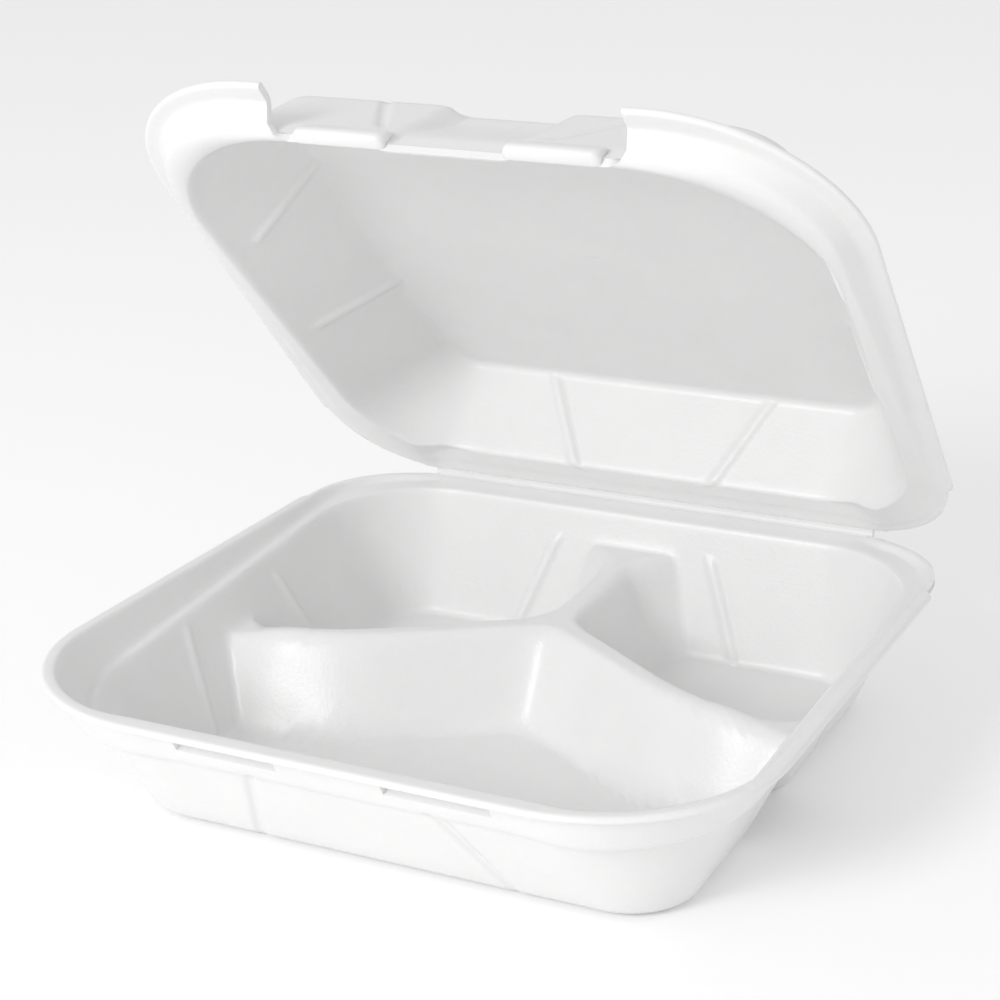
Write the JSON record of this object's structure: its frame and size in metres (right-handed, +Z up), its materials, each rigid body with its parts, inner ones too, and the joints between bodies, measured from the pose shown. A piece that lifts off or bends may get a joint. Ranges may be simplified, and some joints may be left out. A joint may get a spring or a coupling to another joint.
{
  "type": "foam clamshell food container",
  "caption": "Hinged foam food container: a square tray divided into compartments and a domed lid with latch hooks, standing open.",
  "frame": {"origin": "centre of the flat underside of the tray", "axes": "+Z up, out of the tray; -Y towards the opening front, +Y towards the hinge; +X to the right, along the hinge"},
  "size_m": [0.21, 0.2248, 0.1965],
  "materials": {
    "foam": "satin"
  },
  "bodies": {
    "tray": {"base_tray": "foam"},
    "lid": {"lid": "foam"}
  },
  "joints": [
    {"name": "lid_hinge", "type": "hinge", "parent": "tray", "child": "lid", "pos_m": [0, 0.1072, 0.045], "axis": [-1, 0, 0], "range_deg": [-46.8, 133.2]}
  ]
}
